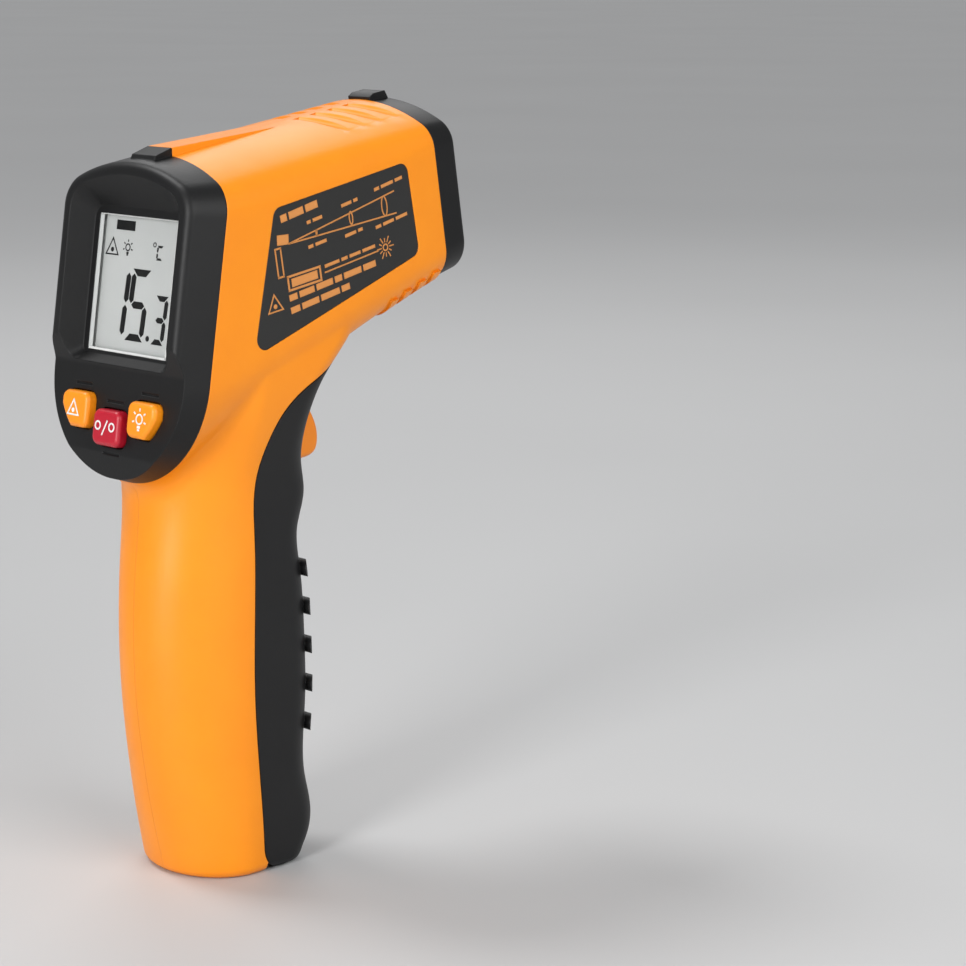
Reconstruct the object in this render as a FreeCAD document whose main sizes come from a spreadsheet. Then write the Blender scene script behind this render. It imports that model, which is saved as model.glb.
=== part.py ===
import FreeCAD, Part
import math
import os
import re

from FreeCAD import Placement, Rotation, Vector

# Infrared thermometer, pistol shape. Millimetres.
# +X is the way it aims, +Y its left side, +Z up; the origin is the centre of the flat
# base of the grip, on which it stands. The barrel rises and the display leans forward.

SIZES = {
    # overall form
    "head_width": 43, "grip_width": 31, "wall": 2.0, "seam_gap": 0.25, "part_gap": 0.3,
    "face_x": -18.2, "face_height": 120.5, "lean": 9, "rise": 9,
    "roof": 23.4, "rim_depth": 4.1, "seam_depth": 3.5, "muzzle_seam": 65, "muzzle_end": 71.8,
    "muzzle_drop": 13.6, "muzzle_taper": 0.9, "chin": 38.3, "roof_round": 7.5, "roof_crown": 38,
    "rim_taper": 2.3, "rim_round": 2.1, "waist": 41, "waist_drop": 18.8, "belly_round": 8,
    "base_round": 2.4, "grip_round": 7, "gill_size": 3.0, "belly_rib": 0.5, "neck_round": 5,
    # display and buttons
    "view_width": 24, "view_height": 26.8, "window_thick": 0.8, "plate_thick": 0.9,
    "hood_wall": 2.8, "lcd_width": 28, "lcd_height": 31, "lcd_thick": 2.2,
    "glow_thick": 3.0, "holder_wall": 1.2, "board_depth": 8.2, "board_thick": 1.6,
    "board_width": 34, "board_top": 21.5, "board_drop": 33,
    "button_width": 8.2, "button_height": 7.1, "button_pitch": 10.2, "button_row": 25.2,
    "unit_drop": 2.6, "button_clip": 2.32, "button_proud": 2.1, "button_gap": 0.3, "button_travel": 0.8,
    "button_round": 1.7, "panel_rise": 1.5, "switch_side": 5.2, "switch_height": 2.0,
    # optics
    "bore": 12.4, "tube_wall": 1.8, "tube_drop": 1.5, "tube_start": 48, "lens_at": 60,
    "lens_thick": 2.2, "ring_long": 2.0, "can_size": 9.2, "can_long": 5.5, "cap_wall": 2.2,
    "laser_size": 8, "laser_long": 16, "laser_rise": 13.5, "laser_hole": 4.4,
    # trigger
    "pivot_x": 10.5, "pivot_drop": 18, "trigger_width": 8.4, "hub_size": 7,
    "trigger_pin_size": 2.5, "pin_gap": 0.05, "boss_size": 6.4, "spring_size": 4.2, "wire_size": 0.5,
    # battery door, hinge and bay
    "hinge_x": 5.1, "hinge_height": 5.4, "hinge_pin_size": 2.4,
    "lug_width": 17.2, "cell_size": 10.5, "cell_long": 44.5, "cell_x": 4.3, "bay_start": 15,
    "tray_wall": 1.2, "contact_thick": 0.5, "coil_long": 4.0, "rib_proud": 1.2, "rib_size": 3.4,
    # fasteners and small parts
    "screw_size": 2.6, "screw_head": 5.0, "post_size": 6.0, "bolt_size": 1.8,
    "buzzer_size": 9.0, "buzzer_long": 4.5, "label_thick": 0.5, "label_sink": 0.1,
}

doc = FreeCAD.newDocument("infrared_thermometer")
sheet = doc.addObject("Spreadsheet::Sheet", "Sizes")
for row, (alias, number) in enumerate(SIZES.items(), start=1):
    sheet.set(f"A{row}", alias)
    sheet.set(f"B{row}", str(number))
    sheet.setAlias(f"B{row}", alias)
doc.recompute()

nodes = {}


def size(alias):
    """The number that a named cell of the sheet holds."""
    return float(sheet.get(alias))


def bind(text):
    """An expression in the sheet's names, with each name pointed at its cell."""
    return re.sub(r"[a-z][a-z0-9_]*", lambda word: f"Sizes.{word[0]}"
                  if word[0] in SIZES else word[0], text)


def place(frame, x, y, z, turn="0", about="0; 1; 0"):
    """The expression of a placement at x, y, z of a frame, turned about an axis."""
    spot = f"placement(vector({x}; {y}; {z}); rotation(vector({about}); {turn}))"
    return f"{frame}.Placement * {bind(spot)}"


def datum(name, x, y, z, turn):
    item = doc.addObject("App::Placement", name)
    spot = f"placement(vector({x}; {y}; {z}); rotation(vector(0; 1; 0); {turn}))"
    item.setExpression("Placement", bind(spot))
    return item


# Grip: upright at the base. Face: +X into the head, +Z up the display. Barrel: +X aims.
datum("Grip", "0", "0", "0", "0")
datum("Face", "face_x", "0", "face_height", "lean")
datum("Barrel", "face_x", "0", "face_height", "-rise")
doc.recompute()
FACE = doc.getObject("Face").Placement
BARREL = doc.getObject("Barrel").Placement


def solid(kind, name, spot, **sizes):
    """A Part primitive whose sizes and placement are expressions."""
    item = doc.addObject(f"Part::{kind}", name)
    for prop, text in sizes.items():
        item.setExpression(prop, bind(text))
    item.setExpression("Placement", spot)
    return item


def box(name, frame, x, y, z, long, wide, high):
    """A box centred on y, from x and z up."""
    spot = place(frame, x, f"{y} - ({wide}) / 2", z)
    return solid("Box", name, spot, Length=long, Width=wide, Height=high)


def rod_x(name, frame, x, y, z, diameter, long):
    """A cylinder along the frame's X."""
    spot = place(frame, x, y, z, "90")
    return solid("Cylinder", name, spot, Radius=f"({diameter}) / 2", Height=long)


def rod_y(name, frame, x, y, z, diameter, long):
    """A cylinder along Y, centred on y."""
    spot = place(frame, x, f"{y} + ({long}) / 2", z, "90", "1; 0; 0")
    return solid("Cylinder", name, spot, Radius=f"({diameter}) / 2", Height=long)


def rod_z(name, frame, x, y, z, diameter, long):
    """A cylinder along the frame's Z."""
    return solid("Cylinder", name, place(frame, x, y, z), Radius=f"({diameter}) / 2", Height=long)


def fuse(name, items):
    item = doc.addObject("Part::MultiFuse", name)
    item.Shapes = list(items)
    return item


def group(name, items):
    """Several separate solids kept as one node."""
    item = doc.addObject("Part::Compound", name)
    item.Links = list(items)
    return item


def cut(name, base, *tools):
    item = doc.addObject("Part::Cut", name)
    item.Base = base
    item.Tool = tools[0] if len(tools) == 1 else fuse(f"{name}_tools", tools)
    return item


def sculpt(name, shape):
    """A piece with a free form, made by Part's own functions from the sheet's sizes."""
    item = doc.addObject("Part::Feature", name)
    item.Shape = shape
    return item


def node(item):
    item.Label = item.Name
    nodes[item.Name] = item
    return item


# ---------------------------------------------------------------- free forms of the shell

def outline(frame, x, half, top, bottom, round_top, round_bottom, inset=0.0, crown=None):
    """A rounded shape across a frame's X axis, with a crowned top, as a wire of eight edges."""
    half, top, bottom = half - inset, top - inset, bottom + inset
    upper, lower = max(round_top - inset, 0.6), max(round_bottom - inset, 0.6)
    lower = min(lower, half - 0.4)
    crown = (crown or size("roof_crown")) - inset
    climb = math.sqrt((crown - upper) ** 2 - (half - upper) ** 2)
    tilt = math.degrees(math.atan2(climb, half - upper))

    def arc(y, z, radius, start, end):
        piece = Part.makeCircle(radius, Vector(0, 0, 0), Vector(0, 0, 1), start, end)
        piece.Placement = Placement(Vector(x, y, z), Rotation(Vector(1, 1, 1), 120))
        return piece
    shoulder = top - crown + climb
    arcs = [arc(half - upper, shoulder, upper, 0, tilt),
            arc(0, top - crown, crown, tilt, 180 - tilt),
            arc(upper - half, shoulder, upper, 180 - tilt, 180),
            arc(lower - half, bottom + lower, lower, 180, 270),
            arc(half - lower, bottom + lower, lower, 270, 360)]
    sides = [Part.makeLine(arcs[first].lastVertex(True).Point, arcs[last].firstVertex(True).Point)
             for first, last in ((2, 3), (3, 4), (4, 0))]
    wire = Part.Wire(arcs[:3] + [sides[0], arcs[3], sides[1], arcs[4], sides[2]])
    wire.Placement = frame.multiply(wire.Placement)
    return wire


def head_sections(inset):
    """The four outlines of the head: rim, display seam, under the barrel, muzzle seam."""
    half, roof, chin = size("head_width") / 2, size("roof"), size("chin")
    seam, rim, taper = size("seam_depth"), size("rim_depth"), size("muzzle_taper")
    corner = size("roof_round")

    def roof_on_face(x):
        """Height up the face at which the barrel's roof line crosses it, x into the head."""
        spot = BARREL.multVec(Vector(0, 0, roof))
        along = BARREL.Rotation.multVec(Vector(1, 0, 0))
        local, run = FACE.inverse().multVec(spot), FACE.Rotation.inverted().multVec(along)
        return local.z + run.z * (x - local.x) / run.x
    narrow = half - size("rim_taper")
    return {
        "rim": outline(FACE, -rim, narrow, roof_on_face(-rim), -chin + 1.2, corner - 1,
                       narrow - 0.5, inset),
        "seam": outline(FACE, seam, half, roof_on_face(seam), -chin, corner, half - 0.5, inset),
        "waist": outline(BARREL, size("waist"), half - taper / 3, roof, -size("waist_drop"), corner,
                         size("belly_round"), inset),
        "muzzle": outline(BARREL, size("muzzle_seam"), half - taper, roof, -size("muzzle_drop"),
                          corner - 2, 7, inset),
        "end": outline(BARREL, size("muzzle_end"), half - taper - 0.5, roof - 0.7,
                       -size("muzzle_drop") + 0.6, corner - 2, 7, inset),
    }


def head_form(inset=0.0):
    """Orange part of the head, between the display seam and the muzzle seam."""
    sections = head_sections(inset)
    return Part.makeLoft([sections["seam"], sections["waist"], sections["muzzle"]], True, False)


def bezel_form(inset=0.0):
    sections = head_sections(inset)
    form = Part.makeLoft([sections["rim"], sections["seam"]], True, True)
    if inset:
        return form
    lip = [edge for edge in form.Edges if abs(
        FACE.inverse().multVec(edge.CenterOfMass).x + size("rim_depth")) < 0.01]
    return form.makeFillet(size("rim_round"), lip)


def cap_form(inset=0.0):
    sections = head_sections(inset)
    return Part.makeLoft([sections["muzzle"], sections["end"]], True, True)


# Sections of the grip from the base up: height, rear, extra half width, front, front round.
GRIP_SECTIONS = [
    (0.0, -14.0, -0.3, 12.2, 0.8), (5.0, -15.2, -0.1, 14.4, 0.85), (11.5, -16.6, 0.0, 15.4, 0.9),
    (18.0, -17.8, 0.0, 14.4, 1.0), (24.0, -18.7, 0.0, 14.1, 1.0), (34.0, -19.9, 0.0, 14.9, 1.0),
    (48.0, -20.5, 0.0, 14.9, 1.0), (62.0, -19.8, 0.0, 13.9, 1.0), (70.0, -18.9, 0.0, 13.4, 1.0),
    (77.0, -18.3, 0.1, 15.0, 0.95), (83.5, -18.3, 1.0, 13.6, 0.95), (88.5, -18.2, 2.4, 12.9, 0.95),
    (95.0, -17.4, 4.2, 13.6, 0.95), (101.0, -15.4, 5.2, 16.3, 0.95), (105.5, -14.0, 5.4, 20.2, 0.95),
    (110.0, -12.6, 5.2, 24.0, 0.95), (115.5, -11.0, 4.4, 27.0, 0.95),
]
SIDE_START = -2.0
FOOT_TOP, NECK_START, DRAWN_FACE = 11.5, 77.0, 120.5


def level(height):
    """A height of the grip, as drawn for a face at DRAWN_FACE, carried to the face's real height.

    The foot stays, the neck rides with the face, and the handle between them stretches.
    """
    rise = size("face_height") - DRAWN_FACE
    handle = (height - FOOT_TOP) / (NECK_START - FOOT_TOP)
    return height + rise * min(max(handle, 0.0), 1.0)


def front_at(height):
    """How far forward the grip reaches at a drawn height."""
    rows = zip(GRIP_SECTIONS, GRIP_SECTIONS[1:])
    low, high = next(pair for pair in rows if pair[1][0] >= height)
    share = (height - low[0]) / (high[0] - low[0])
    return low[3] + share * (high[3] - low[3])


def grip_outline(height, rear, spread, front, share, inset):
    """A level section of the grip: half an ellipse behind, a rounded front."""
    half = size("grip_width") / 2 + spread * (size("head_width") - size("grip_width")) / 12
    half -= inset
    rear, front = rear + inset, front - inset
    radius = size("grip_round") * share - inset / 2
    long_half, centre = SIDE_START - rear, Vector(SIDE_START, 0, height)
    if long_half > half:
        ellipse = Part.Ellipse(centre, long_half, half)
        rear_arc = Part.Arc(ellipse, 1.5707963267948966, 4.71238898038469).toShape()
    else:
        ellipse = Part.Ellipse(Vector(SIDE_START, half, height), Vector(rear, 0, height), centre)
        rear_arc = Part.Arc(ellipse, 0.0, 3.141592653589793).toShape()
    start, end = rear_arc.firstVertex(True).Point, rear_arc.lastVertex(True).Point
    side = 1 if end.y > 0 else -1
    slope = radius * 0.7071067811865476

    def at(x, y):
        return Vector(x, y, height)
    round_end = Part.Arc(at(front - radius, side * half),
                         at(front - radius + slope, side * (half - radius + slope)),
                         at(front, side * (half - radius))).toShape()
    round_start = Part.Arc(at(front, -side * (half - radius)),
                           at(front - radius + slope, -side * (half - radius + slope)),
                           at(front - radius, -side * half)).toShape()
    return Part.Wire([rear_arc, Part.makeLine(end, at(front - radius, side * half)), round_end,
                      Part.makeLine(at(front, side * (half - radius)),
                                    at(front, -side * (half - radius))), round_start,
                      Part.makeLine(at(front - radius, -side * half), start)])


def grip_form(inset=0.0):
    """The whole grip, orange back and black front together."""
    wires = [grip_outline(level(height), *form, inset) for height, *form in GRIP_SECTIONS]
    form = Part.makeLoft(wires, True, False)
    if inset > size("seam_gap"):
        return form
    foot = [edge for edge in form.Edges if edge.BoundBox.ZMax < 0.01]
    return form.makeFillet(size("base_round"), foot)


def door_region(gap, toe):
    """Everything in front of the seam between the grip's back and its door.

    The seam moves forward by gap; toe lists the points that close it underneath.
    """
    hinge_x, hinge_z = size("hinge_x"), size("hinge_height")
    radius = hinge_z + size("seam_gap") - gap

    def at(x, z):
        return Vector(x, -50, z)
    seam = [(hinge_x - radius, hinge_z), (-0.9 + gap, level(12)), (-2.4 + gap, level(38)),
            (-1.8 + gap, level(70)), (-1.8 + gap, level(82)), (-0.3 + gap, level(89.5)),
            (2.7 + gap, level(95.5) - gap), (6.9 + gap, level(99.2) - gap),
            (12.0, level(101.9) - gap), (17.0, level(104.3) - gap), (22, level(107.5) - gap)]
    curve = Part.BSplineCurve()
    curve.interpolate([at(*point) for point in seam])
    slope = radius * 0.7071067811865476
    heel = Part.Arc(at(hinge_x, hinge_z - radius), at(hinge_x - slope, hinge_z - slope),
                    at(hinge_x - radius, hinge_z))
    low = [(60, level(107.5) - gap)] + toe + [(hinge_x, hinge_z - radius)]
    points = [at(*seam[-1])] + [at(*point) for point in low]
    lines = [Part.makeLine(first, second) for first, second in zip(points, points[1:])]
    wire = Part.Wire([curve.toShape()] + lines + [heel.toShape()])
    return Part.Face(wire).extrude(Vector(0, 100, 0))


def half_space(frame, x_low, x_high, z_low):
    """A large block between two planes across a frame's X axis, from a height up."""
    block = Part.makeBox(x_high - x_low, 200, 300, Vector(x_low, -100, z_low))
    block.Placement = frame
    return block


def label_region():
    """Side outline of the label panel, across the whole head."""
    corners = [(19.8, 12.1), (56.6, 13.3), (57.2, -5.8), (9.8, -14.9)]
    points = [Vector(x, -60, z) for x, z in corners]
    face = Part.Face(Part.makePolygon(points + points[:1]))
    block = face.extrude(Vector(0, 120, 0))
    block = block.makeFillet(2.2, [edge for edge in block.Edges if edge.Length > 119])
    block.Placement = BARREL
    return block



def wedge_of(frame, points, half):
    """A flat outline across a frame's Y axis, as thick as twice half."""
    corners = [Vector(x, -half, z) for x, z in points]
    block = Part.Face(Part.makePolygon(corners + corners[:1])).extrude(Vector(0, 2 * half, 0))
    block.Placement = frame
    return block


def bar(frame, start, end, radius):
    """A round bar between two points of a frame."""
    first, last = frame.multVec(Vector(*start)), frame.multVec(Vector(*end))
    return Part.makeCylinder(radius, (last - first).Length, first, last - first)


GRIP = Placement()
HEAD_HALF, GRIP_HALF = size("head_width") / 2, size("grip_width") / 2
WALL, GAP = size("wall"), size("seam_gap")
TRIGGER_SLOT = size("trigger_width") / 2 + size("part_gap")
ROOF = size("roof")

# ---------------------------------------------------------------- housings
sight_rib = wedge_of(BARREL, [(11.4, ROOF - 1), (11.4, ROOF + 1.4), (38, ROOF - 0.1),
                              (38, ROOF - 1)], 3.6)
sight_tab = wedge_of(BARREL, [(5.8, ROOF - 1.5), (7.4, ROOF + 0.7), (11.4, ROOF + 1.4),
                              (11.4, ROOF - 1.5)], 3.6)
gills = [bar(BARREL, (46 + 4.6 * step, side * 1.5, ROOF + 1.0),
             (48.5 + 4.6 * step, side * 14, ROOF - 1.2), size("gill_size") / 2)
         for step in range(4) for side in (-1, 1)]
bands = []
for step in range(4):
    band = Part.makeBox(2.5, 60, 30, Vector(48.5 + 4.25 * step, -30, -43.8 + 0.9 * step))
    band.Placement = BARREL
    bands.append(band)
belly_ribs = head_form(-size("belly_rib")).common(Part.makeCompound(bands))
body = head_form().fuse(grip_form()).removeSplitter()
shells = [Part.makeShell(form.Faces) for form in (head_form(), grip_form())]


def on_neck(edge):
    """Whether an edge of the body is where the head and the grip meet."""
    middle = Part.Vertex(edge.valueAt((edge.FirstParameter + edge.LastParameter) / 2))
    return edge.Length > 0.5 and all(middle.distToShape(shell)[0] < 1e-3 for shell in shells)


envelope = body.makeFillet(size("neck_round"), [edge for edge in body.Edges if on_neck(edge)])
envelope = envelope.fuse([sight_rib, belly_ribs]).cut(gills)
hollow = head_form(WALL).fuse(grip_form(WALL))
hollow = hollow.common(half_space(GRIP, -100, 100, WALL))
skin = label_region().cut(head_form(size("label_thick") + size("label_sink")))

POSTS = [(GRIP, -11, level(27)), (GRIP, -11, level(66)), (BARREL, 37, 16.4), (BARREL, 36, -10.5)]
PIVOT = (size("pivot_x"), size("face_height") - size("pivot_drop"))
HINGE = (size("hinge_x"), size("hinge_height"))


def post(frame, x, z, low, high, diameter):
    return bar(frame, (x, low, z), (x, high, z), diameter / 2)


post_size, seat = size("post_size"), 8.0
posts = [post(*spot, -HEAD_HALF, HEAD_HALF, post_size) for spot in POSTS]
posts += [post(GRIP, *PIVOT, side * TRIGGER_SLOT, side * HEAD_HALF, size("boss_size"))
          for side in (-1, 1)]
shelf_long = size("cell_x") - size("cell_size") / 2 - size("tray_wall") - 0.2 + 9
shelves = [Part.makeBox(shelf_long, 60, 1.6, Vector(-9, -30, level(height)))
           for height in (22, 56)]
shelves.append(Part.makeBox(5.4, 60, 1.6, Vector(-8, -30, level(89))))
lug_half = size("lug_width") / 2
lug = post(GRIP, *HINGE, -lug_half, lug_half, HINGE[1])
lug_arm = Part.makeBox(HINGE[0] + 4, 2 * lug_half, 4.6, Vector(-4, -lug_half, WALL - 0.1))
inside = posts + shelves
solid_shell = envelope.cut(hollow).fuse([item.common(envelope) for item in inside])
toe_cut = Part.makeBox(40, 100, 3.0, Vector(0.4, -50, -1))
region = door_region(0, [(60, -5), (size("hinge_x"), -5)])
slot = Part.makeBox(40, 2 * TRIGGER_SLOT, 30, Vector(4, -TRIGGER_SLOT, PIVOT[1] - 28))
solid_shell = solid_shell.cut([region, toe_cut, skin, slot])
solid_shell = solid_shell.cut(half_space(FACE, -60, size("seam_depth"), -60))
solid_shell = solid_shell.fuse([lug, lug_arm])
holes = [post(*spot, -6, seat, size("screw_size")) for spot in POSTS]
holes += [post(*spot, seat, 40, size("screw_head") + 0.4) for spot in POSTS]
holes.append(post(GRIP, *PIVOT, -9, 9, size("trigger_pin_size")))
holes.append(post(GRIP, *HINGE, -12, 12, size("hinge_pin_size")))
solid_shell = solid_shell.cut(holes)
for side, name in ((1, "left_housing"), (-1, "right_housing")):
    keep = Part.makeBox(300, 100, 400, Vector(-100, min(0, 100 * side), -100))
    node(sculpt(name, solid_shell.common(keep)))

screws = []
for index, spot in enumerate(POSTS, start=1):
    shank = post(*spot, -6, seat, size("screw_size"))
    head = post(*spot, seat, seat + 2, size("screw_head"))
    slot_cut = post(*spot, seat + 1.2, seat + 3, 1.8)
    screws.append(shank.fuse(head).cut(slot_cut))
node(sculpt("housing_screws", Part.makeCompound(screws)))

for side, name in ((1, "label_left"), (-1, "label_right")):
    keep = Part.makeBox(300, 100, 400, Vector(-100, min(0, 100 * side), -100))
    film = label_region().common(head_form(size("label_sink")))
    film = film.cut(head_form(size("label_thick") + size("label_sink")))
    node(sculpt(name, film.common(keep)))

# ---------------------------------------------------------------- bezel and display
VIEW_W, VIEW_H = size("view_width"), size("view_height")
RIM, SEAM = size("rim_depth"), size("seam_depth")
HOOD = HEAD_HALF - size("rim_taper") - size("hood_wall")
PANEL_TOP = -VIEW_H / 2 - 2.4


def face_box(x, y_half, z_low, z_high, x_end):
    block = Part.makeBox(x_end - x, 2 * y_half, z_high - z_low, Vector(x, -y_half, z_low))
    block.Placement = FACE
    return block


def buttons():
    """Name, sideways place and height of each button on the face."""
    row, pitch = size("button_row"), size("button_pitch")
    return [("laser_button", pitch, -row), ("unit_button", 0.0, -row - size("unit_drop")),
            ("backlight_button", -pitch, -row)]


def button_form(y, z, grow, x, x_end):
    """A button's outline: a rounded block whose outer low corner follows the chin."""
    half_w, half_h = size("button_width") / 2 + grow, size("button_height") / 2 + grow
    block = Part.makeBox(x_end - x, 2 * half_w, 2 * half_h, Vector(x, y - half_w, z - half_h))
    block = block.makeFillet(size("button_round") + grow,
                             [edge for edge in block.Edges if abs(edge.Length - (x_end - x)) < 1e-6])
    centre = HEAD_HALF - 0.5 - size("chin")
    corner = math.hypot(size("button_pitch") + size("button_width") / 2,
                        size("button_row") + size("button_height") / 2 + centre)
    disc = Part.makeCylinder(corner - size("button_clip") + grow, 40, Vector(-20, 0, centre),
                             Vector(1, 0, 0))
    block = block.common(disc)
    block.Placement = FACE
    return block


hood_open = outline(FACE, -RIM - 0.1, HOOD + 0.3, 21.2, -VIEW_H / 2 - 4.6, 5.5, 3)
hood_floor = outline(FACE, 0, VIEW_W / 2 + 1.5, VIEW_H / 2 + 1.6, -VIEW_H / 2 - 0.6, 2.5, 1.5,
                     crown=400)
recess = Part.makeLoft([hood_open, hood_floor], True, True)
rise = size("panel_rise")
panel_cut = wedge_of(FACE, [(-RIM - 5, PANEL_TOP + 5.0), (-RIM, PANEL_TOP + 5.0),
                            (-rise - 0.1, PANEL_TOP - 0.2), (-rise, PANEL_TOP - 4.6),
                            (-rise, -size("chin") + 5.5), (0.4, -size("chin") - 3),
                            (-RIM - 5, -size("chin") - 3)], 40)
panel_cut = panel_cut.makeFillet(2.5, [edge for edge in panel_cut.Edges
                                       if edge.Length > 79
                                       and -RIM + 1 < FACE.inverse().multVec(edge.CenterOfMass).x < 0])
back = bezel_form(WALL).common(half_space(FACE, size("plate_thick"), SEAM + 1, -100))
bezel = bezel_form().cut([recess, panel_cut, back])
bezel = bezel.cut(face_box(-1, VIEW_W / 2, -VIEW_H / 2, VIEW_H / 2, 3))
bezel = bezel.cut([button_form(y, z, size("button_gap"), -8, 5) for _, y, z in buttons()])
groove_rise = size("button_height") / 2 + 1.5
grooves = [(y, z + groove_rise) for _, y, z in buttons()]
grooves.append((0, -size("button_row") - size("unit_drop") - groove_rise))
bezel = bezel.cut([bar(FACE, (-rise, y - 2.6, z), (-rise, y + 2.6, z), 0.3) for y, z in grooves])
bezel = bezel.fuse(sight_tab.cut(envelope).cut(hollow).cut(half_space(FACE, SEAM - 2, 30, -60)
                                                            .common(hollow)))
POST_SPOTS = [(y, z) for z in (-19.6, 19.6) for y in (-12.5, 12.5)]
board_x = size("board_depth")
stands = [bar(FACE, (size("plate_thick") - 0.2, y, z), (board_x, y, z), 1.9) for y, z in POST_SPOTS]
bolt_holes = [bar(FACE, (3, y, z), (30, y, z), size("bolt_size") / 2) for y, z in POST_SPOTS]
bezel = bezel.fuse(stands).cut(bolt_holes)
node(sculpt("display_bezel", bezel))

window = box("lcd_window", "Face", "0.1", "0", "-view_height / 2", "window_thick - 0.1",
             "view_width", "view_height")
node(window)
node(box("lcd_panel", "Face", "plate_thick", "0", "-lcd_height / 2", "lcd_thick", "lcd_width",
         "lcd_height"))
glow = box("backlight_panel", "Face", "plate_thick + lcd_thick", "0", "-lcd_height / 2 + 3",
           "glow_thick", "lcd_width", "lcd_height - 3")
node(glow)
node(box("elastomer_connector", "Face", "plate_thick + lcd_thick", "0", "-lcd_height / 2",
         "board_depth - plate_thick - lcd_thick", "lcd_width - 3", "2.4"))
frame_out = box("holder_block", "Face", "plate_thick", "0", "-lcd_height / 2 - holder_wall",
                "board_depth - plate_thick", "lcd_width + 2 * holder_wall",
                "lcd_height + 2 * holder_wall")
frame_in = box("holder_space", "Face", "plate_thick - 1", "0", "-lcd_height / 2", "board_depth + 2",
               "lcd_width", "lcd_height")
node(cut("lcd_holder", frame_out, frame_in))

board = head_form(WALL + 0.6).fuse(grip_form(WALL + 0.6))
board_end = board_x + size("board_thick")
board = board.common(face_box(board_x, size("board_width") / 2, -size("board_drop"),
                              size("board_top"), board_end)).cut(bolt_holes)
node(sculpt("main_board", board))
bolts = [bar(FACE, (3.4, y, z), (board_end, y, z), size("bolt_size") / 2)
         .fuse(bar(FACE, (board_end, y, z), (board_end + 1.2, y, z), size("bolt_size")))
         for y, z in POST_SPOTS]
node(sculpt("board_screws", Part.makeCompound(bolts)))
node(group("board_chips", [
    box("processor", "Face", "board_depth + board_thick", "4", "-4", "1.4", "9", "9"),
    box("memory_chip", "Face", "board_depth + board_thick", "-8", "-12", "1.2", "5", "6"),
    box("laser_driver", "Face", "board_depth + board_thick", "9", "9", "1.0", "4", "5")]))
node(rod_x("buzzer", "Face", "board_depth + board_thick", "-9.5", "5", "buzzer_size", "buzzer_long"))

plunger_gap = size("button_travel") + 0.15
switches = []
for name, y, z in buttons():
    cap = button_form(y, z, 0, -rise - size("button_proud"), size("plate_thick") + 0.6)
    face = [edge for edge in cap.Edges
            if abs(FACE.inverse().multVec(edge.CenterOfMass).x + rise + size("button_proud")) < 1e-4]
    cap = cap.makeFillet(size("button_round") - 0.7, face)
    stem_end = board_x - size("switch_height") - plunger_gap
    stem = bar(FACE, (size("plate_thick"), y, z), (stem_end, y, z), 1.5)
    node(sculpt(name, cap.fuse(stem)))
    side = size("switch_side")
    base = Part.makeBox(size("switch_height") - 0.6, side, side,
                        Vector(board_x - size("switch_height") + 0.6, y - side / 2, z - side / 2))
    base.Placement = FACE
    switches.append(base.fuse(bar(FACE, (board_x - size("switch_height"), y, z),
                                  (board_x - 1, y, z), 1.6)))
node(sculpt("button_switches", Part.makeCompound(switches)))

# ---------------------------------------------------------------- muzzle and optics
cap_in = size("muzzle_end") - size("cap_wall")
cap = cap_form()
front_edges = [edge for edge in cap.Edges if abs(BARREL.inverse().multVec(edge.CenterOfMass).x
                                                  - size("muzzle_end")) < 0.01]
cap = cap.makeFillet(1.6, front_edges)
cap = cap.cut(cap_form(WALL).common(half_space(BARREL, 0, cap_in, -100)))
axis_z, laser_z = -size("tube_drop"), size("laser_rise")


def barrel_cone(x, x_end, z, radius, radius_end):
    """A cone along the barrel between two places."""
    spot = BARREL.multVec(Vector(x, 0, z))
    aim = BARREL.Rotation.multVec(Vector(1, 0, 0))
    return Part.makeCone(radius, radius_end, x_end - x, spot, aim)


bore = size("bore")
cap = cap.cut([barrel_cone(cap_in - 1, size("muzzle_end"), axis_z, bore / 2 - 0.4, bore / 2 + 1.8),
               barrel_cone(cap_in - 0.5, size("muzzle_end"), laser_z, size("laser_hole") / 2 - 0.4,
                           size("laser_hole") / 2 + 0.5)])
bead = wedge_of(BARREL, [(65, ROOF - 1), (65, ROOF + 0.5), (66.2, ROOF + 1.1), (69.5, ROOF + 1.1),
                         (70.4, ROOF - 1)], 3.2)
node(sculpt("front_cap", cap.fuse(bead.cut(cap_form(WALL)))))

tube_out = rod_x("tube_body", "Barrel", "tube_start", "0", "-tube_drop", "bore + 2 * tube_wall",
                 "muzzle_end - cap_wall - tube_start")
tube_in = rod_x("tube_bore", "Barrel", "tube_start + 2", "0", "-tube_drop", "bore", "60")
can_seat = rod_x("can_seat", "Barrel", "tube_start - 1", "0", "-tube_drop", "can_size", "10")
node(cut("lens_tube", tube_out, tube_in, can_seat))
node(rod_x("thermopile_sensor", "Barrel", "tube_start", "0", "-tube_drop", "can_size", "can_long"))
node(box("sensor_board", "Barrel", "tube_start - board_thick", "0", "-tube_drop - 9", "board_thick",
         "18", "18"))
lens_end = size("lens_at") + size("lens_thick")
lens = bar(BARREL, (size("lens_at"), 0, axis_z), (lens_end, 0, axis_z), bore / 2)
dome_radius = bore * 1.3
dome = Part.makeSphere(dome_radius, BARREL.multVec(
    Vector(lens_end - dome_radius, 0, axis_z)))
node(sculpt("ir_lens", lens.common(dome)))
ring_out = rod_x("ring_body", "Barrel", "lens_at + lens_thick", "0", "-tube_drop", "bore", "ring_long")
ring_in = rod_x("ring_bore", "Barrel", "lens_at", "0", "-tube_drop", "bore - 2.4", "12")
node(cut("lens_ring", ring_out, ring_in))
laser_body = rod_x("laser_can", "Barrel", "muzzle_end - cap_wall - laser_long", "0", "laser_rise",
                   "laser_size", "laser_long")
laser_bore = rod_x("laser_bore", "Barrel", "muzzle_end - cap_wall - 3", "0", "laser_rise",
                   "laser_hole - 1", "5")
node(cut("laser_module", laser_body, laser_bore))

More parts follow.
